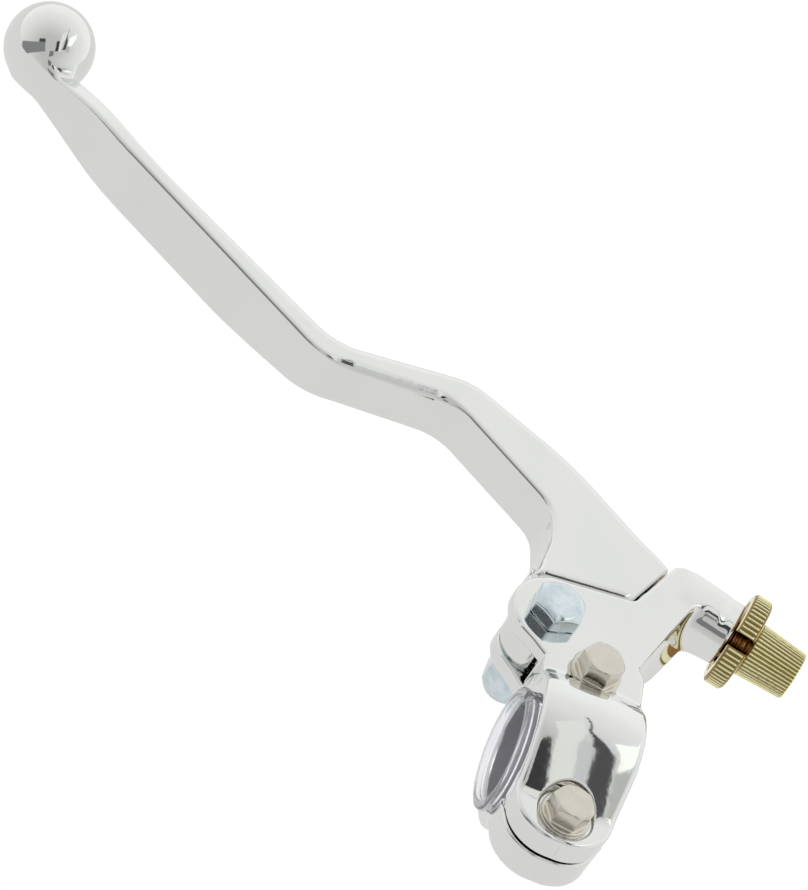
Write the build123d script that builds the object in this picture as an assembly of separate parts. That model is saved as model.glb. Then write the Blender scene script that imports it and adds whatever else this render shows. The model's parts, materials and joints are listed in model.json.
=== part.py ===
from build123d import *
import os
from math import atan2, cos, degrees, hypot, radians, sin, sqrt, tan

# Clutch lever assembly for a left-hand handlebar: two-piece bar clamp with a forked
# bracket, dog-leg lever on a pivot bolt, and a brass cable adjuster with a lock wheel.
# Millimetres.  Origin: centre of the handlebar clamp.  +X runs along the bar towards
# the middle of the motorcycle, +Y points forward, +Z is the head side of the bolts.

# Handlebar clamp
BAR_D = 22.2
SLEEVE_OD = 25.0
SLEEVE_LEFT = -13.0
SLEEVE_RIGHT = 10.6
SLEEVE_LIP = 0.45
SLEEVE_LIP_W = 1.2
SLEEVE_SLIT = 1.6
SLEEVE_SLIT_ANGLE = 64
CLAMP_HALF = 10.8
LEDGE_RIGHT = 10.3
CLAMP_BORE_R = SLEEVE_OD / 2 + 0.05
SPLIT_TOP = 1.4
SPLIT_BOTTOM = 0.6
ARCH_R = 15.6
ARCH_Y = 2.9
ARCH_Z = 0.9
ARCH_RIGHT = 11.6
RAMP_TOP = (-5.6, 14.0)
RAMP_FOOT_Y = -16.0
TAPER_START_Y = -5.0
CLAMP_REAR_Y = -24.3
CLAMP_END_R = 9.6
LUG_R = 7.5
LEDGE_Z = 7.2
LOWER_ARC_R = 16.0
LOWER_LUG_Z = -6.9

# Clamp bolts, M6 flange hexagon, driven from above into the lower clamp half
FRONT_BOLT_Y = 17.0
REAR_BOLT_Y = -17.0
CLAMP_HEX_TURN = -9.0
M6_SHANK_R = 2.95
M6_HOLE_R = 3.2
M6_TAPPED_R = 3.0
FLANGE_R = 5.3
FLANGE_T = 1.3
CLAMP_HEX_AF = 8.0
CLAMP_HEX_TOP = 5.4
SPOT_FACE_R = 5.6
RECESS_R = 6.0
RECESS_Z = 6.4
RECESS_WALL = 0.5
CLAMP_BOLT_TIP = LOWER_LUG_Z + 0.3

# Fork and arm of the bracket
TOP_Z = 11.7
PIVOT = (-10.2, 28.7)
UPPER_EAR_R = 9.0
UPPER_EAR_T = 3.3
LOWER_EAR_R = 7.2
LOWER_EAR_T = 4.0
SLOT_H = 8.6
SLOT_ROOT_R = 10.2
SLOT_TOP = TOP_Z - UPPER_EAR_T
SLOT_BOTTOM = SLOT_TOP - SLOT_H
LOWER_EAR_Z = SLOT_BOTTOM - LOWER_EAR_T
FRONT_SLOPE = 0.14
ARM_CORNER = (6.3, 40.25)
ARM_CORNER_R = 3.0
ARM_TIP = (14.7, 55.3)
ARM_TIP_R = 3.2
RELIEF = 0.6

# Cable adjuster
ADJ_ANGLE = -14.5
ADJ_FACE = (29.2, 47.3)
ADJ_Z = 5.5
BOSS_R = 6.8
BOSS_LENGTH = 12.5
ADJ_SHANK_R = 3.95
ADJ_HOLE_R = 4.0
CABLE_BORE_R = 1.5
HOUSING_BORE_R = 3.1
HOUSING_DEPTH = 7.0
CABLE_SLOT_W = 2.0
WHEEL_R = 10.3
WHEEL_T = 4.5
WHEEL_GAP = 0.1
WHEEL_CHAMFER = 0.7
WHEEL_KNURLS = 58
WHEEL_KNURL_R = 0.34
WHEEL_SLOT_W = 3.2
WHEEL_SLOT_ANGLE = 46
BARREL_START = 5.0
BARREL_LENGTH = 10.65
BARREL_R = 5.9
BARREL_TIP_R = 5.2
BARREL_KNURLS = 40
BARREL_KNURL_R = 0.28
SHANK_IN_BOSS = 14.5

# Lever
LEVER_TOP_Z = 11.2
BLADE_BOTTOM_Z = -3.7
NECK_BOTTOM_Z = -0.5
BLADE_DEEP_X = -86.0
BLADE_SHALLOW_X = -62.0
BLADE_EDGE_R = 1.2
FORK_GAP = 0.35
BALL_R = 9.5
BALL_CENTRE = (-135.0, 132.0, 4.4)
BALL_END_DROP = 4.3
BALL_END_LENGTH = 26.0
TONGUE_R = 6.9
THRUST_WASHER_R = 6.4
WASHER_T = 0.5
FACE_GAP = 0.05
TONGUE_TOP = SLOT_TOP - WASHER_T - 2 * FACE_GAP
TONGUE_BOTTOM = SLOT_BOTTOM + WASHER_T + 2 * FACE_GAP
NIPPLE_R = 4.1
NIPPLE_AT_X = 0.5
NIPPLE_ROOF = 3.2
CABLE_GROOVE_W = 3.0

# Pivot hardware, M6
PIVOT_SHANK_R = 2.98
PIVOT_HOLE_R = 3.05
BUSH_R = 4.2
BUSH_BORE_R = 3.03
PIVOT_HEX_AF = 10.0
PIVOT_HEX_TURN = 22.0
PIVOT_HEAD_H = 4.1
NUT_WASHER_T = 1.2
NUT_H = 6.6
NUT_COLLAR_H = 2.2
NUT_COLLAR_ROUND = 0.9
NUT_WASHER_R = 6.0
INSERT_R = 4.0
INSERT_LIP = 0.5
BOLT_OUT = 0.8

ADJ_DIR = (cos(radians(ADJ_ANGLE)), sin(radians(ADJ_ANGLE)))
ADJ_PLANE = Plane(
    origin=(ADJ_FACE[0], ADJ_FACE[1], ADJ_Z),
    x_dir=(-ADJ_DIR[1], ADJ_DIR[0], 0),
    z_dir=(ADJ_DIR[0], ADJ_DIR[1], 0),
)


def on_adjuster_axis(distance, offset=0.0):
    """Plan point at a distance past the boss face, offset to the left of the axis."""
    return (
        ADJ_FACE[0] + distance * ADJ_DIR[0] - offset * ADJ_DIR[1],
        ADJ_FACE[1] + distance * ADJ_DIR[1] + offset * ADJ_DIR[0],
    )


def rounded_wire(points):
    """Closed plan outline through (x, y) or (x, y, corner radius) points."""
    count = len(points)
    corners = []
    for i, (x, y, *radius) in enumerate(points):
        here = Vector(x, y)
        before = (Vector(*points[i - 1][:2]) - here).normalized()
        after = (Vector(*points[(i + 1) % count][:2]) - here).normalized()
        if not radius:
            corners.append((here, None, here))
            continue
        half = radians(before.get_angle(after)) / 2
        reach = radius[0] / tan(half)
        bisector = (before + after).normalized()
        middle = here + bisector * (radius[0] / sin(half) - radius[0])
        corners.append((here + before * reach, middle, here + after * reach))
    edges = []
    for i, (start, middle, end) in enumerate(corners):
        if middle is not None:
            edges.append(ThreePointArc(start, middle, end))
        edges.append(Line(end, corners[(i + 1) % count][0]))
    return Wire(edges)


def prism(points, z0, z1):
    """Upright prism on a plan outline."""
    return extrude(Pos(0, 0, z0) * make_face(rounded_wire(points)), amount=z1 - z0)


def disc(x, y, radius, z0, z1):
    return Pos(x, y, (z0 + z1) / 2) * Cylinder(radius, z1 - z0)


def along_bar(radius, x0, x1, y=0.0, z=0.0):
    return Pos((x0 + x1) / 2, y, z) * Rot(0, 90, 0) * Cylinder(radius, x1 - x0)


def block(x0, x1, y0, y1, z0, z1):
    return Pos((x0 + x1) / 2, (y0 + y1) / 2, (z0 + z1) / 2) * Box(x1 - x0, y1 - y0, z1 - z0)


def along_adjuster(radius, start, length, end_radius=None):
    """Cylinder or cone on the adjuster axis, starting at a distance past the boss face."""
    middle = ADJ_PLANE * Pos(0, 0, start + length / 2)
    if end_radius is None:
        return middle * Cylinder(radius, length)
    return middle * Cone(radius, end_radius, length)


def cable_slot(width, length=60.0):
    """Slot below the adjuster axis, through which the inner cable is slid in sideways."""
    return ADJ_PLANE * Pos(0, -10, 0) * Box(width, 20, length)


def hexagon(across_flats, turn):
    return Rot(0, 0, turn) * RegularPolygon(across_flats / 2, 6, major_radius=False)


def hexagon_bolt_head(x, y, z, across_flats, height, turn):
    """Hexagon head whose top corners are turned down to a cone."""
    prism_part = extrude(Pos(x, y, z) * hexagon(across_flats, turn), amount=height)
    corner_r = across_flats / sqrt(3)
    top_r = across_flats / 2 * 0.95
    drop = (corner_r - top_r) * tan(radians(30))
    turned = disc(x, y, corner_r + 0.01, z, z + height - drop)
    turned += Pos(x, y, z + height - drop / 2) * Cone(corner_r + 0.01, top_r, drop)
    return prism_part & turned


def clamp_outline(z0, z1):
    """Clamp body in plan: straight sides and a rounded rear end."""
    return prism(
        [
            (-CLAMP_HALF, 14.0),
            (-CLAMP_HALF, CLAMP_REAR_Y, CLAMP_END_R),
            (LEDGE_RIGHT, CLAMP_REAR_Y, CLAMP_END_R),
            (LEDGE_RIGHT, 14.0),
        ],
        z0,
        z1,
    )


def bracket_plan(z0, z1):
    """Fork root, arm and adjuster neck in plan, without the round of the ear."""
    return prism(
        [
            (-CLAMP_HALF, 12.0),
            (-CLAMP_HALF, 17.2),
            (-16.4, 22.2),
            (-12.0, PIVOT[1] + UPPER_EAR_R),
            (*ARM_CORNER, ARM_CORNER_R),
            (*ARM_TIP, ARM_TIP_R),
            on_adjuster_axis(-4.0, 3.2),
            on_adjuster_axis(-4.0, -3.0),
            (19.6, 46.6, 3.0),
            (9.2, 23.4),
            (CLAMP_HALF, 20.5),
            (CLAMP_HALF, 12.0),
        ],
        z0,
        z1,
    )


def build_arch():
    """Top of the clamp: an arch over the bar, then a flat slope down to the rear ledge."""
    arch = along_bar(ARCH_R, -CLAMP_HALF, ARCH_RIGHT, ARCH_Y, ARCH_Z)
    arch &= block(-20, 20, -20, 20, SPLIT_TOP, 30)
    outline = Polyline(
        RAMP_TOP,
        (RAMP_TOP[0], SPLIT_TOP),
        (RAMP_FOOT_Y, SPLIT_TOP),
        (RAMP_FOOT_Y, LEDGE_Z),
        close=True,
    )
    length = CLAMP_HALF + ARCH_RIGHT
    arch += Pos(-CLAMP_HALF, 0, 0) * extrude(Plane.YZ * make_face(outline), amount=length)
    return arch & prism(
        [
            (-CLAMP_HALF, 20.0),
            (-CLAMP_HALF, RAMP_FOOT_Y),
            (LEDGE_RIGHT, RAMP_FOOT_Y),
            (ARCH_RIGHT, TAPER_START_Y),
            (ARCH_RIGHT, 20.0),
        ],
        SPLIT_TOP,
        30,
    )


def build_bracket():
    px, py = PIVOT
    body = clamp_outline(SPLIT_TOP, LEDGE_Z) + build_arch()
    body += bracket_plan(SPLIT_TOP, TOP_Z)
    body += disc(px, py, UPPER_EAR_R, SPLIT_TOP, TOP_Z)
    # Lower ear and its root, clear of the front lug of the lower clamp half
    lower = disc(px, py, LOWER_EAR_R, LOWER_EAR_Z, SPLIT_TOP)
    lower += prism(
        [
            (-15.6, 24.2),
            (-9.6, 16.6),
            (-9.6, 13.9),
            (2.0, 24.0),
            (7.0, 30.0, 2.0),
            (5.0, 37.5, 3.0),
            (px, 35.8),
        ],
        LOWER_EAR_Z,
        SPLIT_TOP,
    )
    lower -= disc(0, FRONT_BOLT_Y, LUG_R + RELIEF, LOWER_EAR_Z - 1, SPLIT_TOP)
    clear_x, clear_y = CLAMP_HALF + RELIEF, LOWER_ARC_R + RELIEF
    lower -= block(-clear_x, 30, 0, clear_y, LOWER_EAR_Z - 1, SPLIT_TOP)
    body += lower
    # Boss for the adjuster, flattened level with the top of the arm
    boss = along_adjuster(BOSS_R, -BOSS_LENGTH, BOSS_LENGTH)
    boss &= block(0, 60, 20, 80, -20, TOP_Z)
    body += boss
    body = body.clean()
    # Slot for the lever and its path, then the run of the cable below the arm
    slot = disc(px, py, SLOT_ROOT_R, SLOT_BOTTOM, SLOT_TOP)
    slot += prism(
        [(-40, 17.6), (-11, 17.6), (px, 18.6), (-3.4, 21.4), (3.4, 37.6), (13.0, 70), (-40, 70)],
        SLOT_BOTTOM,
        SLOT_TOP,
    )
    body -= slot
    body -= along_bar(CLAMP_BORE_R, -30, 30)
    body -= disc(px, py, PIVOT_HOLE_R, LOWER_EAR_Z - 1, TOP_Z + 1)
    body -= disc(0, FRONT_BOLT_Y, SPOT_FACE_R, TOP_Z, 25)
    recess = disc(0, REAR_BOLT_Y, RECESS_R, RECESS_Z, 25)
    body -= recess - along_bar(CLAMP_BORE_R + RECESS_WALL, -30, 30)
    for y in (FRONT_BOLT_Y, REAR_BOLT_Y):
        body -= disc(0, y, M6_HOLE_R, -5, 25)
    body -= along_adjuster(ADJ_HOLE_R, -40, 60)
    body -= cable_slot(CABLE_SLOT_W)
    return body


def build_lower_clamp():
    body = clamp_outline(LOWER_LUG_Z, SPLIT_BOTTOM)
    body += disc(0, FRONT_BOLT_Y, LUG_R, LOWER_LUG_Z, SPLIT_BOTTOM)
    arc = along_bar(LOWER_ARC_R, -CLAMP_HALF, CLAMP_HALF)
    arc &= block(-20, 20, -30, 30, -30, SPLIT_BOTTOM)
    body += arc
    body -= along_bar(CLAMP_BORE_R, -30, 30)
    for y in (FRONT_BOLT_Y, REAR_BOLT_Y):
        body -= disc(0, y, M6_TAPPED_R, -30, 5)
    return body


def build_sleeve():
    wall = along_bar(SLEEVE_OD / 2, SLEEVE_LEFT, SLEEVE_RIGHT)
    wall += along_bar(SLEEVE_OD / 2 + SLEEVE_LIP, SLEEVE_LEFT, SLEEVE_LEFT + SLEEVE_LIP_W)
    wall -= along_bar(BAR_D / 2, -40, 40)
    slit = Box(60, 6, SLEEVE_SLIT)
    wall -= Rot(SLEEVE_SLIT_ANGLE, 0, 0) * Pos(0, SLEEVE_OD / 2, 0) * slit
    return wall


def build_clamp_bolt(y, seat):
    bolt = disc(0, y, M6_SHANK_R, CLAMP_BOLT_TIP, seat + 1)
    bolt += disc(0, y, FLANGE_R, seat, seat + FLANGE_T)
    head_h = CLAMP_HEX_TOP - 1
    return bolt + hexagon_bolt_head(0, y, seat + 1, CLAMP_HEX_AF, head_h, CLAMP_HEX_TURN)


def beside_arm(distance):
    """Plan point on the lever's edge that faces the arm, a distance up from the arm's corner."""
    dx, dy = ARM_TIP[0] - ARM_CORNER[0], ARM_TIP[1] - ARM_CORNER[1]
    length = hypot(dx, dy)
    return (
        ARM_CORNER[0] + (distance * dx - FORK_GAP * dy) / length,
        ARM_CORNER[1] + (distance * dy + FORK_GAP * dx) / length,
    )


def beside_fork(x):
    """Plan point on the lever's edge that faces the front of the fork."""
    return (x, ARM_CORNER[1] + FORK_GAP + FRONT_SLOPE * (x - ARM_CORNER[0]))


def lever_plan(z0, z1):
    """Dog-leg blade and head in plan, from the ball round to the head and back."""
    return prism(
        [
            (-139.2, 126.9),
            (-119.2, 108.2, 60.0),
            (-66.6, 71.4, 15.0),
            (-37.3, 74.0, 12.0),
            (-14.0, 56.7, 8.0),
            (-12.9, 48.0, 12.0),
            (*beside_fork(-15.4), 1.4),
            (*beside_fork(ARM_CORNER[0] - 0.25), ARM_CORNER_R + 0.3),
            (*beside_arm(14.9), 0.8),
            (-10.6, 71.4, 60.0),
            (-34.7, 82.7, 14.0),
            (-64.5, 78.0, 14.0),
            (-118.2, 112.4, 80.0),
            (-129.4, 124.0),
            (-131.5, 130.0),
        ],
        z0,
        z1,
    )


def shallow_underside():
    """What is taken off below the neck and head, where the lever is less deep."""
    low = BLADE_BOTTOM_Z - 1
    outline = Polyline(
        (BLADE_DEEP_X, BLADE_BOTTOM_Z),
        (BLADE_SHALLOW_X, NECK_BOTTOM_Z),
        (40, NECK_BOTTOM_Z),
        (40, low),
        (BLADE_DEEP_X, low),
        close=True,
    )
    return extrude(Plane.XZ * make_face(outline), amount=-120)


def build_lever():
    px, py = PIVOT
    bx, by, bz = BALL_CENTRE
    body = lever_plan(BLADE_BOTTOM_Z, LEVER_TOP_Z)
    rims = body.edges().filter_by(Plane.XY)
    body = fillet(rims, BLADE_EDGE_R) - shallow_underside()
    # The top of the blade falls away towards the ball
    side = Plane(origin=(bx, by, LEVER_TOP_Z), x_dir=(0.72, -0.69, 0), z_dir=(-0.69, -0.72, 0))
    fall = ThreePointArc(
        (0, -BALL_END_DROP), (BALL_END_LENGTH / 2, -BALL_END_DROP / 4), (BALL_END_LENGTH, 0)
    )
    above = Polyline((BALL_END_LENGTH, 0), (BALL_END_LENGTH, 5), (0, 5), (0, -BALL_END_DROP))
    body -= extrude(side * make_face(Wire([*fall.edges(), *above.edges()])), amount=20, both=True)
    tongue = disc(px, py, TONGUE_R, TONGUE_BOTTOM, TONGUE_TOP)
    tongue += prism(
        [(px - TONGUE_R, py), (-15.0, 42.0), (2.0, 42.0), (1.0, 37.0), (px + TONGUE_R, py)],
        TONGUE_BOTTOM,
        TONGUE_TOP,
    )
    body += tongue
    body += Pos(bx, by, bz) * Sphere(BALL_R)
    body -= disc(px, py, BUSH_R, -10, 15)
    # Socket for the cable end, open below, and the groove that the cable lies in
    back = (ADJ_FACE[0] - NIPPLE_AT_X) / ADJ_DIR[0]
    nx, ny = on_adjuster_axis(-back)
    roof = LEVER_TOP_Z - NIPPLE_ROOF
    body -= disc(nx, ny, NIPPLE_R, NECK_BOTTOM_Z - 1, roof)
    groove = block(0, 16, -CABLE_GROOVE_W / 2, CABLE_GROOVE_W / 2, -12, CABLE_GROOVE_W / 2)
    body -= Pos(nx, ny, ADJ_Z) * Rot(0, 0, ADJ_ANGLE) * groove
    return body


def build_bush():
    px, py = PIVOT
    return disc(px, py, BUSH_R, TONGUE_BOTTOM, TONGUE_TOP) - disc(px, py, BUSH_BORE_R, -10, 15)


def build_washer(z0, thickness, radius):
    px, py = PIVOT
    return disc(px, py, radius, z0, z0 + thickness) - disc(px, py, PIVOT_HOLE_R, -30, 30)


def build_pivot_bolt(tip_z):
    px, py = PIVOT
    bolt = disc(px, py, PIVOT_SHANK_R, tip_z, TOP_Z + 1)
    return bolt + hexagon_bolt_head(px, py, TOP_Z, PIVOT_HEX_AF, PIVOT_HEAD_H, PIVOT_HEX_TURN)


def build_nut(top_z):
    px, py = PIVOT
    sides = extrude(Pos(px, py, top_z) * hexagon(PIVOT_HEX_AF, PIVOT_HEX_TURN), amount=-NUT_H)
    collar_r = PIVOT_HEX_AF / 2 * 0.96
    nut = sides + disc(px, py, collar_r, top_z - NUT_H - NUT_COLLAR_H, top_z)
    rim = nut.faces().sort_by(Axis.Z)[0].edges()
    nut = fillet(rim, NUT_COLLAR_ROUND)
    nut -= disc(px, py, PIVOT_SHANK_R, -40, 30)
    return nut - disc(px, py, INSERT_R, top_z - NUT_H - NUT_COLLAR_H + INSERT_LIP, top_z - NUT_H)


def build_nut_insert(top_z):
    px, py = PIVOT
    ring = disc(px, py, INSERT_R, top_z - NUT_H - NUT_COLLAR_H + INSERT_LIP, top_z - NUT_H)
    return ring - disc(px, py, PIVOT_SHANK_R, -40, 30)


def knurl_cuts(radius, start, length, count, cut_r, end_radius=None):
    """Ring of round-bottomed grooves cut along the adjuster axis."""
    far = radius if end_radius is None else end_radius
    lean = degrees(atan2(far - radius, length))
    groove = Pos(radius, 0, start + length / 2) * Rot(0, lean, 0) * Cylinder(cut_r, length + 2)
    shift = (far - radius) / 2
    return [
        ADJ_PLANE * Rot(0, 0, 360 * i / count) * Pos(shift, 0, 0) * groove for i in range(count)
    ]


def build_adjuster():
    shank = along_adjuster(ADJ_SHANK_R, -SHANK_IN_BOSS, SHANK_IN_BOSS + BARREL_START + 1)
    barrel = along_adjuster(BARREL_R, BARREL_START, BARREL_LENGTH, BARREL_TIP_R)
    barrel -= knurl_cuts(
        BARREL_R, BARREL_START, BARREL_LENGTH, BARREL_KNURLS, BARREL_KNURL_R, BARREL_TIP_R
    )
    part = shank + barrel
    end = BARREL_START + BARREL_LENGTH
    part -= along_adjuster(HOUSING_BORE_R, end - HOUSING_DEPTH, HOUSING_DEPTH + 1)
    part -= along_adjuster(CABLE_BORE_R, -SHANK_IN_BOSS - 1, 60)
    part -= cable_slot(CABLE_SLOT_W)
    return part


def build_lock_wheel():
    wheel = along_adjuster(WHEEL_R, WHEEL_GAP, WHEEL_T)
    wheel = chamfer(wheel.edges().filter_by(GeomType.CIRCLE), WHEEL_CHAMFER)
    wheel -= knurl_cuts(WHEEL_R, WHEEL_GAP, WHEEL_T, WHEEL_KNURLS, WHEEL_KNURL_R)
    wheel -= along_adjuster(ADJ_HOLE_R, -5, 20)
    slot = Pos(0, WHEEL_R, WHEEL_T / 2) * Box(WHEEL_SLOT_W, 2 * WHEEL_R, 2 * WHEEL_T)
    return wheel - ADJ_PLANE * Rot(0, 0, WHEEL_SLOT_ANGLE) * slot


NUT_TOP_Z = LOWER_EAR_Z - NUT_WASHER_T
PIVOT_BOLT_TIP = NUT_TOP_Z - NUT_H - NUT_COLLAR_H - BOLT_OUT
UPPER_WASHER_Z = SLOT_TOP - FACE_GAP - WASHER_T
LOWER_WASHER_Z = SLOT_BOTTOM + FACE_GAP

PARTS = {
    "bracket": build_bracket(),
    "lower_clamp": build_lower_clamp(),
    "bar_sleeve": build_sleeve(),
    "front_clamp_bolt": build_clamp_bolt(FRONT_BOLT_Y, TOP_Z),
    "rear_clamp_bolt": build_clamp_bolt(REAR_BOLT_Y, RECESS_Z),
    "lever": build_lever(),
    "pivot_bush": build_bush(),
    "upper_thrust_washer": build_washer(UPPER_WASHER_Z, WASHER_T, THRUST_WASHER_R),
    "lower_thrust_washer": build_washer(LOWER_WASHER_Z, WASHER_T, THRUST_WASHER_R),
    "nut_washer": build_washer(NUT_TOP_Z, NUT_WASHER_T, NUT_WASHER_R),
    "pivot_nut": build_nut(NUT_TOP_Z),
    "pivot_nut_insert": build_nut_insert(NUT_TOP_Z),
    "pivot_bolt": build_pivot_bolt(PIVOT_BOLT_TIP),
    "cable_adjuster": build_adjuster(),
    "lock_wheel": build_lock_wheel(),
}

os.makedirs("parts", exist_ok=True)
for name, shape in PARTS.items():
    export_step(shape, f"parts/{name}.step")
    print(name, round(shape.volume, 1), len(shape.solids()))
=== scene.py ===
import json
from itertools import product
from math import cos, pi, radians, sin, sqrt

import bpy
import numpy as np
from mathutils import Matrix, Vector


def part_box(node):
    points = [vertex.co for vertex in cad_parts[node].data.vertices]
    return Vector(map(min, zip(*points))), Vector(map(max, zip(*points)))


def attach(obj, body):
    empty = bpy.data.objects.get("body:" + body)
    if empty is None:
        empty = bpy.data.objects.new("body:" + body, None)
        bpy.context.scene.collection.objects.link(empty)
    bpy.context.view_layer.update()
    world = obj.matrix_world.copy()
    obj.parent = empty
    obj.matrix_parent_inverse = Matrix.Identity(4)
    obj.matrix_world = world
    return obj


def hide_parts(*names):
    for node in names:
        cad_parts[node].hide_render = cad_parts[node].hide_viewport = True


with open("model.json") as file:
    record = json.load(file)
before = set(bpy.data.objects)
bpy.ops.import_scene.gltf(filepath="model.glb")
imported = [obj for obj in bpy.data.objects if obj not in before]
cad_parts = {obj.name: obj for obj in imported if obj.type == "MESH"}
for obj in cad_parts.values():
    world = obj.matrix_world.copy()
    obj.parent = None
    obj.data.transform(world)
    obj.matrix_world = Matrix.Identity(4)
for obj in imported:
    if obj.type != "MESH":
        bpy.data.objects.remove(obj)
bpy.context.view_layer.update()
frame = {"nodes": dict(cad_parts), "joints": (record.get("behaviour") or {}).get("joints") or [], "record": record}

MM = 0.001

# --------------------------------------------------------------------------------------
# Camera: looking down on the clamp end from the rider's side, with the bar end nearest
# --------------------------------------------------------------------------------------
CAMERA_AIM = (-0.0515, 0.0424, 0.0255)
CAMERA_AZIMUTH = radians(-16.95)
CAMERA_ELEVATION = radians(43.37)
CAMERA_ROLL = radians(34.1)
CAMERA_DISTANCE = 1.507
CAMERA_LENS = 340.0


def camera_direction():
    """Unit vector from the object towards the camera."""
    level = cos(CAMERA_ELEVATION)
    return Vector((sin(CAMERA_AZIMUTH) * level, -cos(CAMERA_AZIMUTH) * level, sin(CAMERA_ELEVATION)))


def camera_turn():
    """Rotation whose columns are the camera's right, up and backward directions."""
    back = camera_direction()
    level_right = Vector((cos(CAMERA_AZIMUTH), sin(CAMERA_AZIMUTH), 0))
    level_up = back.cross(level_right)
    right = level_right * cos(CAMERA_ROLL) + level_up * sin(CAMERA_ROLL)
    up = level_up * cos(CAMERA_ROLL) - level_right * sin(CAMERA_ROLL)
    return Matrix((right, up, back)).transposed().to_4x4()


CAMERA_TURN = camera_turn()


def add_camera():
    camera = bpy.data.objects.new("camera", bpy.data.cameras.new("camera"))
    camera.data.sensor_fit = "HORIZONTAL"
    camera.data.sensor_width = 36.0
    camera.data.lens = CAMERA_LENS
    camera.data.clip_end = 20.0
    place = Vector(CAMERA_AIM) + camera_direction() * CAMERA_DISTANCE
    camera.matrix_world = Matrix.Translation(place) @ CAMERA_TURN
    bpy.context.collection.objects.link(camera)
    bpy.context.scene.camera = camera


# --------------------------------------------------------------------------------------
# Distance fields: every casting is a smooth field that is turned into a fine mesh.
# Coordinates are millimetres in the row frame, as arrays that broadcast together.
# --------------------------------------------------------------------------------------
def rounded_outline(points, arc_step=radians(3)):
    """Plan outline through (x, y) or (x, y, corner radius) points, arcs as short chords."""
    outline = []
    for i, (x, y, *radius) in enumerate(points):
        here = np.array((x, y))
        if not radius:
            outline.append(here)
            continue
        before = np.array(points[i - 1][:2]) - here
        after = np.array(points[(i + 1) % len(points)][:2]) - here
        before /= np.linalg.norm(before)
        after /= np.linalg.norm(after)
        half = np.arccos(np.clip(before @ after, -1, 1)) / 2
        bisector = (before + after) / np.linalg.norm(before + after)
        centre = here + bisector * radius[0] / sin(half)
        start = here + before * radius[0] / np.tan(half) - centre
        end = here + after * radius[0] / np.tan(half) - centre
        sweep = pi - 2 * half
        count = max(2, int(sweep / arc_step) + 2)
        turn = np.sign(start[0] * end[1] - start[1] * end[0])
        for angle in np.linspace(0, sweep * turn, count):
            c, s = cos(angle), sin(angle)
            outline.append(centre + (c * start[0] - s * start[1], s * start[0] + c * start[1]))
    return np.array(outline)


def chain_distance(x, y, points, closed):
    """Distance in plan to a chain of straight pieces, and whether inside where closed."""
    nearest = np.full(np.broadcast(x, y).shape, np.inf)
    inside = np.zeros(nearest.shape, bool)
    ends = np.roll(points, -1, axis=0) if closed else points[1:]
    for (ax, ay), (bx, by) in zip(points, ends):
        dx, dy = bx - ax, by - ay
        length2 = dx * dx + dy * dy
        if length2 < 1e-12:
            continue
        t = np.clip(((x - ax) * dx + (y - ay) * dy) / length2, 0, 1)
        nearest = np.minimum(nearest, (x - ax - t * dx) ** 2 + (y - ay - t * dy) ** 2)
        if closed and dy:
            crosses = (ay > y) != (by > y)
            inside ^= crosses & (x < ax + (y - ay) * dx / dy)
    return np.sqrt(nearest), inside


def plan(x, y, outline):
    """Signed plan distance to a closed outline, negative inside."""
    distance, inside = chain_distance(x, y, outline, True)
    return np.where(inside, -distance, distance)


def both(a, b, r=0.0):
    """Intersection, with its outer edge rounded to radius r."""
    if np.all(r == 0):
        return np.maximum(a, b)
    u = np.maximum(a + r, 0)
    v = np.maximum(b + r, 0)
    return np.minimum(-r, np.maximum(a, b)) + np.sqrt(u * u + v * v)


def join(a, b, k=0.0):
    """Union, with a soft fillet of about size k."""
    if k == 0:
        return np.minimum(a, b)
    h = np.maximum(k - np.abs(a - b), 0) / k
    return np.minimum(a, b) - h * h * k / 4


def cut(a, b, r=0.0):
    """a with b taken away, the new edge rounded to radius r."""
    return both(a, -b, r=r)


def slab(v, low, high):
    """Distance field of the layer between two values of a coordinate."""
    return np.maximum(low - v, v - high)


def disc(x, y, cx, cy, radius):
    return np.hypot(x - cx, y - cy) - radius


def mix(a, b, t):
    return a + (b - a) * t


def ramp(v, low, high):
    """Smooth step from 0 at low to 1 at high."""
    t = np.clip((v - low) / (high - low), 0, 1)
    return t * t * (3 - 2 * t)


# Settling: the probe and the longest move are shares of the mesh step
SETTLE_ROUNDS = 3
SLOPE_PROBE = 0.05
LONGEST_MOVE = 0.5
FLATTEST_SLOPE = 0.5
TINY = 1e-9

CORNERS = list(product((0, 1), repeat=3))
CELL_EDGES = [
    (i, j)
    for i, j in product(range(8), repeat=2)
    if i < j and sum(abs(a - b) for a, b in zip(CORNERS[i], CORNERS[j])) == 1
]


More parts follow.
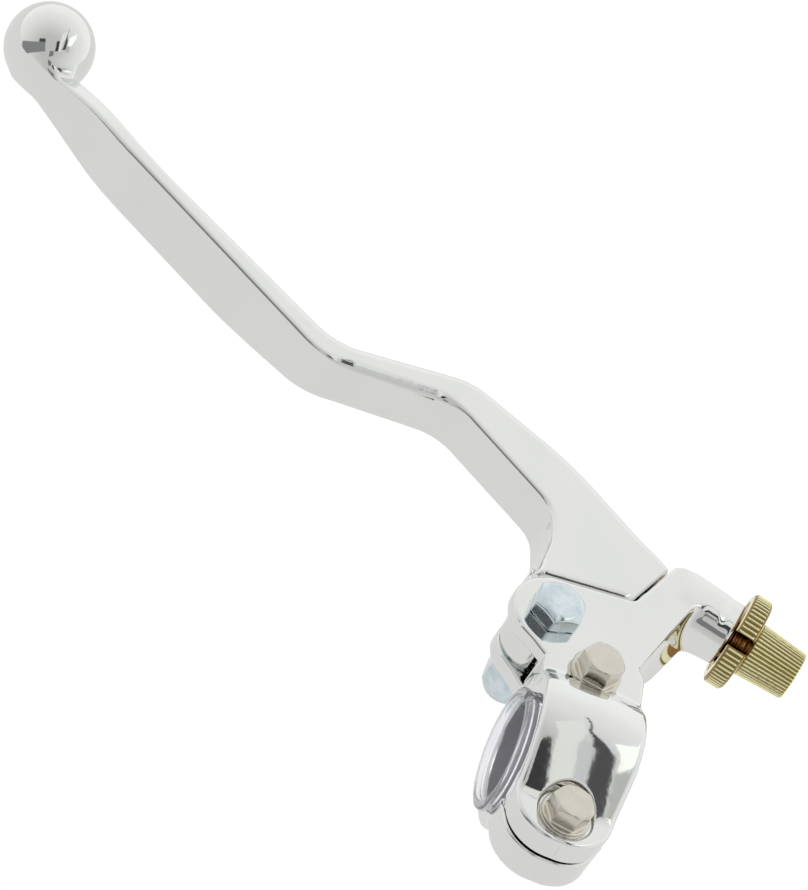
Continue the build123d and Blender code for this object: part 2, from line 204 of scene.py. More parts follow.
def surface_net(field, low, step):
    """Vertices and quads of the zero surface of a sampled distance field."""
    inside = field < 0
    shape = tuple(n - 1 for n in field.shape)

    def corner(values, offset):
        return values[tuple(slice(o, o + n) for o, n in zip(offset, shape))]

    total = sum(corner(inside, offset).astype(np.int8) for offset in CORNERS)
    mixed = (total > 0) & (total < 8)
    index = np.full(shape, -1, np.int64)
    index[mixed] = np.arange(mixed.sum())
    values = [corner(field, offset)[mixed] for offset in CORNERS]
    place = np.zeros((len(values[0]), 3))
    crossings = np.zeros(len(values[0]))
    for i, j in CELL_EDGES:
        a, b = values[i], values[j]
        crossed = (a < 0) != (b < 0)
        t = (a[crossed] / (a[crossed] - b[crossed]))[:, None]
        place[crossed] += np.array(CORNERS[i]) + t * (np.array(CORNERS[j]) - CORNERS[i])
        crossings[crossed] += 1
    vertices = low + step * (np.argwhere(mixed) + place / crossings[:, None])
    quads = []
    for axis in range(3):
        first = [slice(1, -1)] * 3
        second = [slice(1, -1)] * 3
        first[axis] = slice(0, -1)
        second[axis] = slice(1, None)
        a = inside[tuple(first)]
        b = inside[tuple(second)]
        for leaving, order in ((True, (0, 1, 2, 3)), (False, (3, 2, 1, 0))):
            at = np.argwhere((a == leaving) & (b != leaving))
            at[:, (axis + 1) % 3] += 1
            at[:, (axis + 2) % 3] += 1
            around = []
            for du, dv in ((-1, -1), (0, -1), (0, 0), (-1, 0)):
                cell = at.copy()
                cell[:, (axis + 1) % 3] += du
                cell[:, (axis + 2) % 3] += dv
                around.append(index[tuple(cell.T)])
            quads.append(np.stack([around[k] for k in order], axis=1))
    return vertices, np.concatenate(quads)


def settle(vertices, distance, step):
    """Moves vertices along the field's slope until they lie on its zero surface."""
    small = step * SLOPE_PROBE
    for _ in range(SETTLE_ROUNDS):
        x, y, z = vertices.T
        value = distance(x, y, z)
        slope = np.stack(
            [
                distance(x + small, y, z) - distance(x - small, y, z),
                distance(x, y + small, z) - distance(x, y - small, z),
                distance(x, y, z + small) - distance(x, y, z - small),
            ],
            axis=1,
        ) / (2 * small)
        length2 = np.maximum((slope * slope).sum(axis=1), FLATTEST_SLOPE**2)
        move = slope * (value / length2)[:, None]
        reach = np.linalg.norm(move, axis=1, keepdims=True)
        vertices = vertices - move * np.minimum(1, LONGEST_MOVE * step / np.maximum(reach, TINY))
    return vertices


def solid_from_field(name, distance, low, high, step, place, recess=None):
    """Fine quad mesh of a distance field, as an object that is not yet riding."""
    low = np.array(low, float) - 2 * step
    counts = [int((b - a) / step) + 4 for a, b in zip(low, high)]
    x, y, z = (low[i] + step * np.arange(counts[i]) for i in range(3))
    field = np.broadcast_to(
        distance(x[:, None, None], y[None, :, None], z[None, None, :]), counts
    )
    vertices, quads = surface_net(np.ascontiguousarray(field), low, step)
    vertices = settle(vertices, distance, step)
    depth = None if recess is None else recess(*vertices.T)
    vertices = vertices @ np.array(place.to_3x3()).T + np.array(place.translation)
    mesh = bpy.data.meshes.new(name)
    mesh.vertices.add(len(vertices))
    mesh.vertices.foreach_set("co", (vertices * MM).ravel())
    mesh.loops.add(quads.size)
    mesh.loops.foreach_set("vertex_index", quads.ravel())
    mesh.polygons.add(len(quads))
    mesh.polygons.foreach_set("loop_start", np.arange(0, quads.size, 4))
    mesh.polygons.foreach_set("loop_total", np.full(len(quads), 4))
    mesh.update(calc_edges=True)
    mesh.validate()
    mesh.shade_smooth()
    # The recess attribute carries the depth that the brass material paints as shade in grooves and recesses.
    if depth is not None:
        mesh.attributes.new("recess", "FLOAT", "POINT").data.foreach_set("value", depth)
    piece = bpy.data.objects.new(name, mesh)
    bpy.context.collection.objects.link(piece)
    return piece


# --------------------------------------------------------------------------------------
# Places read from the frame
# --------------------------------------------------------------------------------------
def joint(name):
    return next(j for j in frame["joints"] if j["name"] == name)


def in_mm(values):
    return [v / MM for v in values]


PIVOT_X, PIVOT_Y, _ = in_mm(joint("lever_pivot")["pos_m"])
ADJ_FACE = Vector(in_mm(joint("lock_wheel_turn")["pos_m"]))
ADJ_AXIS = Vector(joint("lock_wheel_turn")["axis"])
ADJ_SIDE = Vector((-ADJ_AXIS.y, ADJ_AXIS.x, 0))

BRACKET_LOW, BRACKET_HIGH = (in_mm(c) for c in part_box("bracket"))
LEVER_LOW, LEVER_HIGH = (in_mm(c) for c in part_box("lever"))
LOWER_LOW, LOWER_HIGH = (in_mm(c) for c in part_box("lower_clamp"))
BUSH_LOW, BUSH_HIGH = (in_mm(c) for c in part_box("pivot_bush"))
WASHER_HIGH = in_mm(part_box("nut_washer")[1])

CLAMP_HALF = LOWER_HIGH[0]
CLAMP_REAR_Y = LOWER_LOW[1]
SPLIT_BOTTOM = LOWER_HIGH[2]
LOWER_EAR_Z = WASHER_HIGH[2]
TONGUE_BOTTOM, TONGUE_TOP = BUSH_LOW[2], BUSH_HIGH[2]

# Sizes that the castings share with the frame
TOP_Z = 11.7
SPLIT_TOP = 1.4
SLOT_TOP = 8.4
SLOT_BOTTOM = -0.2
LEDGE_Z = 7.2
LEDGE_RIGHT = 10.3
CLAMP_END_R = 9.6
CLAMP_BORE_R = 12.55
ARCH_R, ARCH_Y, ARCH_Z = 15.6, 2.9, 0.9
ARCH_RIGHT = 11.6
ARCH_CROWN = 0.8
RAMP_START = radians(119.5)
RAMP_R = 100.0
RAMP_FOOT_Y = -16.0
TAPER_START_Y = -5.0
FLARE_TOP = 10.5
LOWER_ARC_R = 16.0
LOWER_LUG_Z = -6.9
LUG_R = 7.5
FRONT_BOLT_Y = 17.0
REAR_BOLT_Y = -17.0
SPOT_FACE_R = 5.6
PIVOT_HOLE_R = 3.05
UPPER_BOLT_HOLE_R, LOWER_BOLT_HOLE_R = 3.2, 3.0
RECESS_R, RECESS_Z, RECESS_WALL = 6.0, 6.4, 0.5
UPPER_EAR_R = 9.0
LOWER_EAR_R = 7.2
SLOT_ROOT_R = 10.2
BOSS_R, BOSS_LENGTH = 6.8, 12.5
ADJUSTER_HOLE_R, ADJUSTER_HOLE_LENGTH = 4.0, 30.0
CABLE_SLOT_HALF, CABLE_SLOT_LENGTH = 1.0, 20.0
HALVES_GAP = 0.6
FLARE_POWER = 1.7
FORK_GAP = 0.35
FRONT_SLOPE = 0.14
ARM_CORNER = (6.3, 40.25)
ARM_TIP = (14.7, 55.3)
CAST_EDGE_R, LEDGE_EDGE_R, PLATE_EDGE_R, SPLIT_EDGE_R, BORE_EDGE_R = 1.3, 0.9, 0.7, 0.5, 0.4

# Sizes of the fasteners, the sleeve and the adjuster
M6_THREAD = {"pitch": 1.0, "depth": 0.45}
M8_PITCH = 1.25
FLANK_SCALE = 0.7  # keeps the field's slope near 1 on a thread's flanks
CLAMP_HEX_TURN = radians(21)
FLANGE_R, FLANGE_T = 5.3, 1.3
CLAMP_HEX, CLAMP_HEAD_H = 8.0, 5.4
CLAMP_SHANK_R = 2.95
PIVOT_HEX, PIVOT_HEX_TURN = 10.0, radians(-8)
PIVOT_FACE_R, PIVOT_FACE_T = 4.7, 0.6
PIVOT_SHANK_R, PIVOT_THREAD_LENGTH = 2.98, 7.0
SLEEVE_LOW, SLEEVE_HIGH = (in_mm(c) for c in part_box("bar_sleeve"))
SLEEVE_LEFT, SLEEVE_RIGHT = SLEEVE_LOW[0], SLEEVE_HIGH[0]
SLEEVE_R = 12.5
SLEEVE_LIP = SLEEVE_HIGH[2] - SLEEVE_R
SLEEVE_LIP_T = 1.2
BAR_R = 11.1
SLIT_ANGLE = radians(64)
SLIT_HALF = 0.8
PIVOT_BOLT_LOW, PIVOT_BOLT_HIGH = (in_mm(c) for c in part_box("pivot_bolt"))
PIVOT_HEAD_H = PIVOT_BOLT_HIGH[2] - TOP_Z
SHANK_LOW = PIVOT_BOLT_LOW[2] - TOP_Z
NUT_BOX_LOW, NUT_BOX_HIGH = (in_mm(c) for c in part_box("pivot_nut"))
NUT_H = NUT_BOX_HIGH[2] - NUT_BOX_LOW[2]
NUT_COLLAR, NUT_COLLAR_R = 2.2, 4.35
NUT_BORE_R = 3.02
NUT_RING_R, NUT_RING_H = 3.75, 1.9
BARREL_START = 5.0
BARREL_LENGTH = 10.65
BARREL_END = BARREL_START + BARREL_LENGTH
BARREL_R, BARREL_TIP_R = 5.9, 5.2
# Depth over which the painted shade on the brass grows from ridge to groove
BRASS_SHADE_DEPTH = 0.6
SHANK_IN_BOSS = 14.5
HOUSING_R, HOUSING_DEPTH = 3.1, 7.0
ADJUSTER_SHANK_R, ADJUSTER_NECK_R, ADJUSTER_BORE_R = 3.95, 4.6, 1.5
WHEEL_R = 10.3
WHEEL_LOW, WHEEL_HIGH = 0.1, 4.6
WHEEL_SLOT_HALF = 1.6
WHEEL_HOLE_R = 4.05
WHEEL_BACK_R, WHEEL_BACK_DEPTH = 8.2, 0.25
WHEEL_GROOVE_R, WHEEL_GROOVE_DEPTH = (6.4, 8.4), 0.3
WHEEL_KNURLS, BARREL_KNURLS = 58, 40
WHEEL_SLOT_ANGLE = radians(46)


def on_adjuster_axis(distance, offset=0.0):
    """Plan point at a distance past the boss face, offset to the left of the axis."""
    point = ADJ_FACE + ADJ_AXIS * distance + ADJ_SIDE * offset
    return (point.x, point.y)


def beside_arm(distance):
    """Plan point along the arm's inner edge, the fork's gap clear of it."""
    edge = np.subtract(ARM_TIP, ARM_CORNER)
    edge /= np.linalg.norm(edge)
    return tuple(ARM_CORNER + distance * edge + FORK_GAP * np.array((-edge[1], edge[0])))


def beside_fork(x):
    """Plan point along the fork's front, the same gap clear of it."""
    return (x, ARM_CORNER[1] + FORK_GAP + FRONT_SLOPE * (x - ARM_CORNER[0]))


# --------------------------------------------------------------------------------------
# Lever
# --------------------------------------------------------------------------------------
LEVER_TOP_Z = 11.2
BLADE_BOTTOM_Z = -3.7
NECK_BOTTOM_Z = -0.5
BALL_R = 9.5
BALL_CENTRE = (-135.0, 132.0, 4.4)
TONGUE_R = 6.9
BUSH_R = 4.2
# Towards the ball the top falls and the bottom rises, within these distances of it
TOP_DROP, TOP_DROP_POWER, TOP_DROP_REACH = 5.2, 1.5, (3.0, 30.0)
BOTTOM_RISE, BOTTOM_RISE_REACH = 1.6, (6.0, 40.0)
NECK_RISE_X = (-90, -58)
MIDDLE_LEFT_X, MIDDLE_RIGHT_X = (-68, -60), (-34, -42)
HEAD_EDGE_REACH = (9.0, 3.0)
BALL_FILLET = 2.6
EDGE_BLEND = (0.3, 0.7)
REAR_EDGE_R, MIDDLE_EDGE_R, FRONT_EDGE_R, HEAD_EDGE_R = 0.9, 2.3, 2.6, 1.9
REAR_UNDER_R, FRONT_UNDER_R = 1.1, 2.2
NIPPLE_R = 4.1
NIPPLE_AT_X = 0.5
NIPPLE_ROOF = 3.2
CABLE_GROOVE_HALF = 1.5

LEVER_REAR = [
    (-119.2, 108.2, 60.0),
    (-66.6, 71.4, 15.0),
    (-37.3, 74.0, 12.0),
    (-14.0, 56.7, 8.0),
    (-12.9, 48.0, 12.0),
]
LEVER_HEAD = [
    (*beside_fork(-15.4), 1.4),
    (*beside_fork(ARM_CORNER[0] - 0.25), 3.3),
    (*beside_arm(14.9), 0.8),
]
LEVER_FRONT = [
    (-10.6, 71.4, 60.0),
    (-34.7, 82.7, 14.0),
    (-64.5, 78.0, 14.0),
    (-118.2, 112.4, 80.0),
]
LEVER_OUTLINE = rounded_outline(
    [(-139.2, 126.9), *LEVER_REAR, *LEVER_HEAD, *LEVER_FRONT, (-129.4, 124.0), (-131.5, 130.0)]
)
REAR_CHAIN = rounded_outline([(-145.0, 133.0), *LEVER_REAR, beside_fork(-15.4)])
FRONT_CHAIN = rounded_outline([beside_arm(14.9), *LEVER_FRONT, (-124.0, 131.0)])
HEAD_CHAIN = rounded_outline([beside_fork(-20.0), *LEVER_HEAD[1:2], beside_arm(18.0)])
TONGUE_OUTLINE = np.array(
    [
        (PIVOT_X - TONGUE_R, PIVOT_Y),
        (-15.0, 42.0),
        (2.0, 42.0),
        (1.0, 37.0),
        (PIVOT_X + TONGUE_R, PIVOT_Y),
    ]
)
NIPPLE = on_adjuster_axis(-(ADJ_FACE.x - NIPPLE_AT_X) / ADJ_AXIS.x)


def lever_field(x, y, z):
    """Flat blade that thins towards its ball, with rounded edges and a tongue for the fork."""
    edge = plan(x, y, LEVER_OUTLINE)
    to_rear, _ = chain_distance(x, y, REAR_CHAIN, False)
    to_front, _ = chain_distance(x, y, FRONT_CHAIN, False)
    to_head, _ = chain_distance(x, y, HEAD_CHAIN, False)
    front = ramp(to_rear / (to_rear + to_front + TINY), *EDGE_BLEND)
    head = ramp(to_head, *HEAD_EDGE_REACH)
    middle = ramp(x, *MIDDLE_LEFT_X) * ramp(x, *MIDDLE_RIGHT_X)
    top_r = mix(mix(REAR_EDGE_R, MIDDLE_EDGE_R, middle), FRONT_EDGE_R, front)
    top_r = mix(top_r, HEAD_EDGE_R, head)
    bottom_r = mix(REAR_UNDER_R, FRONT_UNDER_R, front)
    to_ball = np.hypot(x - BALL_CENTRE[0], y - BALL_CENTRE[1])
    top = LEVER_TOP_Z - TOP_DROP * (1 - ramp(to_ball, *TOP_DROP_REACH)) ** TOP_DROP_POWER
    depth = BLADE_BOTTOM_Z + BOTTOM_RISE * (1 - ramp(to_ball, *BOTTOM_RISE_REACH))
    bottom = mix(depth, NECK_BOTTOM_Z, ramp(x, *NECK_RISE_X))
    blade = both(both(edge, z - top, r=top_r), bottom - z, r=bottom_r)
    ball = np.sqrt(to_ball**2 + (z - BALL_CENTRE[2]) ** 2)
    body = join(blade, ball - BALL_R, k=BALL_FILLET)
    tongue_edge = join(disc(x, y, PIVOT_X, PIVOT_Y, TONGUE_R), plan(x, y, TONGUE_OUTLINE), k=1.0)
    tongue = both(tongue_edge, slab(z, TONGUE_BOTTOM, TONGUE_TOP), r=0.25)
    body = np.minimum(body, tongue)
    body = cut(body, disc(x, y, PIVOT_X, PIVOT_Y, BUSH_R))
    socket = np.maximum(disc(x, y, *NIPPLE, NIPPLE_R), z - (LEVER_TOP_Z - NIPPLE_ROOF))
    body = cut(body, socket, r=0.3)
    along = (x - NIPPLE[0]) * ADJ_AXIS.x + (y - NIPPLE[1]) * ADJ_AXIS.y
    across = (x - NIPPLE[0]) * ADJ_SIDE.x + (y - NIPPLE[1]) * ADJ_SIDE.y
    groove = np.maximum(np.abs(across) - CABLE_GROOVE_HALF, z - ADJ_FACE.z - CABLE_GROOVE_HALF)
    return cut(body, np.maximum(groove, -along), r=0.3)


# --------------------------------------------------------------------------------------
# Bracket and lower clamp half
# --------------------------------------------------------------------------------------
CLAMP_OUTLINE = rounded_outline(
    [
        (-CLAMP_HALF, 14.0),
        (-CLAMP_HALF, CLAMP_REAR_Y, CLAMP_END_R),
        (LEDGE_RIGHT, CLAMP_REAR_Y, CLAMP_END_R),
        (LEDGE_RIGHT, 14.0),
    ]
)
BRACKET_OUTLINE = rounded_outline(
    [
        (-CLAMP_HALF, 12.0),
        (-CLAMP_HALF, 17.2),
        (-16.4, 22.2),
        (-12.0, PIVOT_Y + UPPER_EAR_R),
        (*ARM_CORNER, 3.0),
        (*ARM_TIP, 3.2),
        on_adjuster_axis(-4.0, 3.2),
        on_adjuster_axis(-4.0, -3.0),
        (19.6, 46.6, 3.0),
        (9.2, 23.4),
        (CLAMP_HALF, 20.5),
        (CLAMP_HALF, 12.0),
    ]
)
SKIRT_OUTLINE = rounded_outline(
    [
        (-CLAMP_HALF, 12.0),
        (-CLAMP_HALF, 17.2),
        (-16.4, 22.2),
        (-12.0, PIVOT_Y + UPPER_EAR_R),
        (*ARM_CORNER, 3.0),
        (*ARM_TIP, 3.2),
        on_adjuster_axis(-4.0, 3.2),
        (28.4, 43.9),
        (21.4, 42.6, 4.0),
        (15.6, 31.0, 10.0),
        (CLAMP_HALF, 24.5),
        (CLAMP_HALF, 12.0),
    ]
)
LOWER_EAR_OUTLINE = rounded_outline(
    [
        (-15.6, 24.2),
        (-9.6, 16.6),
        (-9.6, 13.9),
        (2.0, 24.0),
        (7.0, 30.0, 2.0),
        (5.0, 37.5, 3.0),
        (PIVOT_X, 35.8),
    ]
)
SLOT_OUTLINE = np.array(
    [
        (-40, 17.6),
        (-11, 17.6),
        (PIVOT_X, 18.6),
        (-3.4, 21.4),
        (3.4, 37.6),
        (13.0, 70),
        (-40, 70),
    ]
)


def arch_field(x, y, z):
    """Top of the clamp: an arch over the bar that runs out to the rear as a long ramp."""
    y, z = y - ARCH_Y, z - ARCH_Z
    c, s = cos(RAMP_START), sin(RAMP_START)
    centre = ARCH_R - RAMP_R
    bent = np.hypot(y, z) - ARCH_R
    straight = np.hypot(y - centre * c, z - centre * s) - RAMP_R
    crown = ARCH_CROWN * (x / CLAMP_HALF) ** 2
    top = np.where(z * c > y * s, straight, bent) + crown
    foot = RAMP_FOOT_Y - ARCH_Y
    taper = (ARCH_RIGHT - LEDGE_RIGHT) / (TAPER_START_Y - RAMP_FOOT_Y)
    right = ARCH_RIGHT - taper * np.maximum(TAPER_START_Y - ARCH_Y - y, 0)
    body = both(top, np.maximum(-CLAMP_HALF - x, x - right), r=CAST_EDGE_R)
    return both(body, foot - y)


def bracket_field(x, y, z):
    """Upper clamp half, fork, arm and adjuster boss in one casting."""
    bar = np.hypot(y, z)
    arch = arch_field(x, y, z)
    ledge = both(plan(x, y, CLAMP_OUTLINE), z - LEDGE_Z, r=LEDGE_EDGE_R)
    flare = np.clip((FLARE_TOP - z) / (FLARE_TOP - SPLIT_TOP), 0, 1) ** FLARE_POWER
    top_edge = mix(plan(x, y, BRACKET_OUTLINE), plan(x, y, SKIRT_OUTLINE), flare)
    top_edge = join(top_edge, disc(x, y, PIVOT_X, PIVOT_Y, UPPER_EAR_R), k=1.0)
    plate = both(top_edge, z - TOP_Z, r=PLATE_EDGE_R)
    upper = join(join(arch, ledge, k=0.8), plate, k=0.8)
    upper = both(upper, SPLIT_TOP - z, r=SPLIT_EDGE_R)
    ear = join(disc(x, y, PIVOT_X, PIVOT_Y, LOWER_EAR_R), plan(x, y, LOWER_EAR_OUTLINE), k=1.0)
    ear = both(both(ear, LOWER_EAR_Z - z, r=0.6), z - SPLIT_TOP - 1)
    below = z - SPLIT_TOP
    ear = cut(ear, np.maximum(disc(x, y, 0, FRONT_BOLT_Y, LUG_R + HALVES_GAP), below))
    beside_arc = np.maximum(y - LOWER_ARC_R - HALVES_GAP, -x - CLAMP_HALF - HALVES_GAP)
    ear = cut(ear, np.maximum(beside_arc, below))
    body = join(upper, ear, k=0.5)
    along = (x - ADJ_FACE.x) * ADJ_AXIS.x + (y - ADJ_FACE.y) * ADJ_AXIS.y
    across = (x - ADJ_FACE.x) * ADJ_SIDE.x + (y - ADJ_FACE.y) * ADJ_SIDE.y
    round_boss = np.hypot(across, z - ADJ_FACE.z)
    boss = both(round_boss - BOSS_R, slab(along, -BOSS_LENGTH, 0), r=0.6)
    boss = both(boss, z - TOP_Z, r=0.4)
    body = join(body, boss, k=2.0)
    slot_edge = np.minimum(disc(x, y, PIVOT_X, PIVOT_Y, SLOT_ROOT_R), plan(x, y, SLOT_OUTLINE))
    body = cut(body, np.maximum(slot_edge, slab(z, SLOT_BOTTOM, SLOT_TOP)), r=BORE_EDGE_R)
    body = cut(body, bar - CLAMP_BORE_R, r=BORE_EDGE_R)
    body = cut(body, disc(x, y, PIVOT_X, PIVOT_Y, PIVOT_HOLE_R), r=0.2)
    spot = np.maximum(disc(x, y, 0, FRONT_BOLT_Y, SPOT_FACE_R), TOP_Z - z)
    body = cut(body, spot, r=0.25)
    recess = np.maximum(disc(x, y, 0, REAR_BOLT_Y, RECESS_R), RECESS_Z - z)
    body = cut(body, np.maximum(recess, CLAMP_BORE_R + RECESS_WALL - bar), r=0.25)
    for bolt_y in (FRONT_BOLT_Y, REAR_BOLT_Y):
        body = cut(body, disc(x, y, 0, bolt_y, UPPER_BOLT_HOLE_R))
    hole = np.maximum(round_boss - ADJUSTER_HOLE_R, -along - ADJUSTER_HOLE_LENGTH)
    body = cut(body, hole, r=0.3)
    cable_slot = np.maximum(np.abs(across) - CABLE_SLOT_HALF, z - ADJ_FACE.z)
    return cut(body, np.maximum(cable_slot, -along - CABLE_SLOT_LENGTH), r=0.2)


def lower_clamp_field(x, y, z):
    """Half ring under the bar with a lug for each bolt."""
    bar = np.hypot(y, z)
    lug = join(plan(x, y, CLAMP_OUTLINE), disc(x, y, 0, FRONT_BOLT_Y, LUG_R), k=1.0)
    lug = both(lug, LOWER_LUG_Z - z, r=LEDGE_EDGE_R)
    arc = both(bar - LOWER_ARC_R, np.abs(x) - CLAMP_HALF, r=CAST_EDGE_R)
    body = both(join(lug, arc, k=1.5), z - SPLIT_BOTTOM, r=SPLIT_EDGE_R)
    body = cut(body, bar - CLAMP_BORE_R, r=BORE_EDGE_R)
    for bolt_y in (FRONT_BOLT_Y, REAR_BOLT_Y):
        body = cut(body, disc(x, y, 0, bolt_y, LOWER_BOLT_HOLE_R), r=0.2)
    return body


# --------------------------------------------------------------------------------------
# Fasteners, sleeve and adjuster. What is joined within a piece overlaps by a few tenths.
# --------------------------------------------------------------------------------------
def hexagon(x, y, flats, corner, turn):
    """Plan distance to a hexagon of that width across flats, its corners rounded."""
    sides = []
    for k in range(3):
        angle = turn + k * pi / 3
        sides.append(np.abs(x * cos(angle) + y * sin(angle)) - flats / 2)
    return both(both(sides[0], sides[1], r=corner), sides[2], r=corner)


def chamfer(radial, v, top, start, slope):
    """Cone that takes the corners off a turned top: falls by slope per mm from start."""
    return ((v - top) + (radial - start) * slope) / sqrt(1 + slope * slope)


def thread(radial, angle, along, radius, pitch, depth):
    """Distance to a screw thread's helical surface."""
    turn = along / pitch - angle / (2 * pi)
    tooth = np.abs(2 * (turn - np.floor(turn)) - 1)
    return (radial - radius + depth * tooth) * FLANK_SCALE


def knurl(radial, angle, radius, count, cutter):
    """Distance to the round-bottomed grooves of a straight knurl."""
    pitch = 2 * pi / count
    off = np.mod(angle, pitch) - pitch / 2
    return np.hypot(radial * np.cos(off) - radius, radial * np.sin(off)) - cutter


def clamp_bolt(reach):
    """Field of a flanged bolt; z = 0 is the seat, and reach is its length below that."""

    def field(x, y, z):
        radial = np.hypot(x, y)
        flange = both(radial - FLANGE_R, slab(z, 0, FLANGE_T), r=0.25)
        sides = hexagon(x, y, CLAMP_HEX, corner=0.15, turn=CLAMP_HEX_TURN)
        head = both(sides, slab(z, 0.3, CLAMP_HEAD_H), r=0.05)
        head = both(head, chamfer(radial, z, CLAMP_HEAD_H, start=3.75, slope=0.75), r=0.05)
        body = join(flange, head, k=0.35)
        shank = thread(radial, np.arctan2(y, x), z, CLAMP_SHANK_R, **M6_THREAD)
        shank = both(shank, slab(z, -reach, 0.2), r=0.3)
        return np.minimum(body, shank)

    return field


def pivot_bolt_field(x, y, z):
    """Hexagon bolt; z = 0 is the seat under its head."""
    radial = np.hypot(x, y)
    sides = hexagon(x, y, PIVOT_HEX, corner=0.2, turn=PIVOT_HEX_TURN)
    head = both(sides, slab(z, 0.25, PIVOT_HEAD_H), r=0.15)
    head = both(head, chamfer(radial, z, PIVOT_HEAD_H, start=4.1, slope=0.62), r=0.25)
    face = both(radial - PIVOT_FACE_R, slab(z, 0, PIVOT_FACE_T), r=0.1)
    thread_top = SHANK_LOW + PIVOT_THREAD_LENGTH
    shank = both(radial - PIVOT_SHANK_R, slab(z, thread_top, 0.3))
    screw = thread(radial, np.arctan2(y, x), z, PIVOT_SHANK_R, **M6_THREAD)
    screw = both(screw, slab(z, SHANK_LOW, thread_top + 0.2), r=0.3)
    return np.minimum(np.minimum(head, face), np.minimum(shank, screw))


def pivot_nut_field(x, y, z):
    """Lock nut hanging below z = 0, with its rounded collar at the bottom."""
    radial = np.hypot(x, y)
    collar_top = -(NUT_H - NUT_COLLAR)
    sides = hexagon(x, y, PIVOT_HEX, corner=0.2, turn=PIVOT_HEX_TURN)
    body = both(sides, slab(z, collar_top, 0), r=0.12)
    body = both(body, chamfer(radial, z, 0, start=4.75, slope=0.5), r=0.1)
    body = both(body, chamfer(radial, -z, -collar_top, start=4.65, slope=0.6), r=0.15)
    collar = both(radial - NUT_COLLAR_R, slab(z, -NUT_H, -1), r=0.9)
    body = join(body, collar, k=0.3)
    body = cut(body, radial - NUT_BORE_R, r=0.15)
    return cut(body, np.maximum(radial - NUT_RING_R, z + NUT_H - NUT_RING_H), r=0.15)


def sleeve_field(x, y, z):
    """Thin split tube round the bar, with a lip at its left end."""
    bar = np.hypot(y, z)
    wall = both(bar - SLEEVE_R, slab(x, SLEEVE_LEFT, SLEEVE_RIGHT), r=0.25)
    lip = both(bar - SLEEVE_R - SLEEVE_LIP, slab(x, SLEEVE_LEFT, SLEEVE_LEFT + SLEEVE_LIP_T), r=0.3)
    body = join(wall, lip, k=0.4)
    body = cut(body, bar - BAR_R, r=0.25)
    slit_y, slit_z = cos(SLIT_ANGLE), sin(SLIT_ANGLE)
    away = -(y * slit_y + z * slit_z)
    slit = np.maximum(np.abs(y * slit_z - z * slit_y) - SLIT_HALF, away)
    return cut(body, slit, r=0.3)


def adjuster_field(along, side, up):
    """Cable adjuster: threaded shank in the boss and a tapered knurled barrel."""
    radial = np.hypot(side, up)
    angle = np.arctan2(up, side)
    t = np.clip((along - BARREL_START) / BARREL_LENGTH, 0, 1)
    outside = mix(BARREL_R, BARREL_TIP_R, t)
    barrel = both(radial - outside, slab(along, BARREL_START, BARREL_END), r=0.45)
    grooves = knurl(radial, angle, outside + 0.05, BARREL_KNURLS, cutter=0.34)
    barrel = cut(barrel, grooves, r=0.05)
    neck = both(radial - ADJUSTER_NECK_R, slab(along, BARREL_START - 0.3, BARREL_START + 0.3), r=0.1)
    shank = thread(radial, angle, along, ADJUSTER_SHANK_R, M8_PITCH, depth=0.5)
    shank = both(shank, slab(along, -SHANK_IN_BOSS, BARREL_START + 0.2), r=0.35)
    body = np.minimum(np.minimum(barrel, shank), neck)
    body = cut(body, radial - ADJUSTER_BORE_R, r=0.2)
    housing = np.maximum(radial - HOUSING_R, BARREL_END - HOUSING_DEPTH - along)
    body = cut(body, housing, r=0.25)
    return cut(body, np.maximum(np.abs(side) - CABLE_SLOT_HALF, up), r=0.15)


def barrel_painted_shade(along, side, up):
    """Painted shade mask: 0 on the barrel's ridges, rising to 1 in its grooves and on the screw behind it."""
    t = np.clip((along - BARREL_START) / BARREL_LENGTH, 0, 1)
    outside = mix(BARREL_R, BARREL_TIP_R, t)
    return np.clip((outside - np.hypot(side, up)) / BRASS_SHADE_DEPTH, 0, 1) * (along < BARREL_END - 0.1)


def wheel_painted_shade(along, side, up):
    """Painted shade mask: 0 on the wheel's ridges and faces, rising to 1 in its grooves."""
    middle = (WHEEL_LOW + WHEEL_HIGH) / 2
    on_rim = np.abs(along - middle) < (WHEEL_HIGH - WHEEL_LOW) / 2 - 0.2
    depth = np.clip((WHEEL_R - np.hypot(side, up)) / BRASS_SHADE_DEPTH, 0, 1)
    return depth * on_rim


def wheel_field(along, side, up):
    """Knurled lock wheel with its cable slot."""
    radial = np.hypot(side, up)
    angle = np.arctan2(up, side)
    rim = both(radial - WHEEL_R, slab(along, WHEEL_LOW, WHEEL_HIGH), r=0.15)
    rim = both(rim, chamfer(radial, along, WHEEL_HIGH, start=WHEEL_R - 0.9, slope=0.8), r=0.2)
    rim = both(rim, chamfer(radial, -along, -WHEEL_LOW, start=WHEEL_R - 0.9, slope=0.8), r=0.2)
    rim = cut(rim, knurl(radial, angle, WHEEL_R + 0.06, WHEEL_KNURLS, cutter=0.42), r=0.06)
    back = np.maximum(radial - WHEEL_BACK_R, along - WHEEL_LOW - WHEEL_BACK_DEPTH)
    rim = cut(rim, back, r=0.1)
    groove = np.maximum(slab(radial, *WHEEL_GROOVE_R), WHEEL_HIGH - WHEEL_GROOVE_DEPTH - along)
    rim = cut(rim, groove, r=0.1)
    rim = cut(rim, thread(radial, angle, along, WHEEL_HOLE_R, M8_PITCH, depth=0.4), r=0.05)
    rim = cut(rim, radial - WHEEL_HOLE_R, r=0.2)
    c, s = cos(WHEEL_SLOT_ANGLE), sin(WHEEL_SLOT_ANGLE)
    out = up * c - side * s
    off = np.abs(side * c + up * s)
    return cut(rim, np.maximum(off - WHEEL_SLOT_HALF, -out), r=0.2)


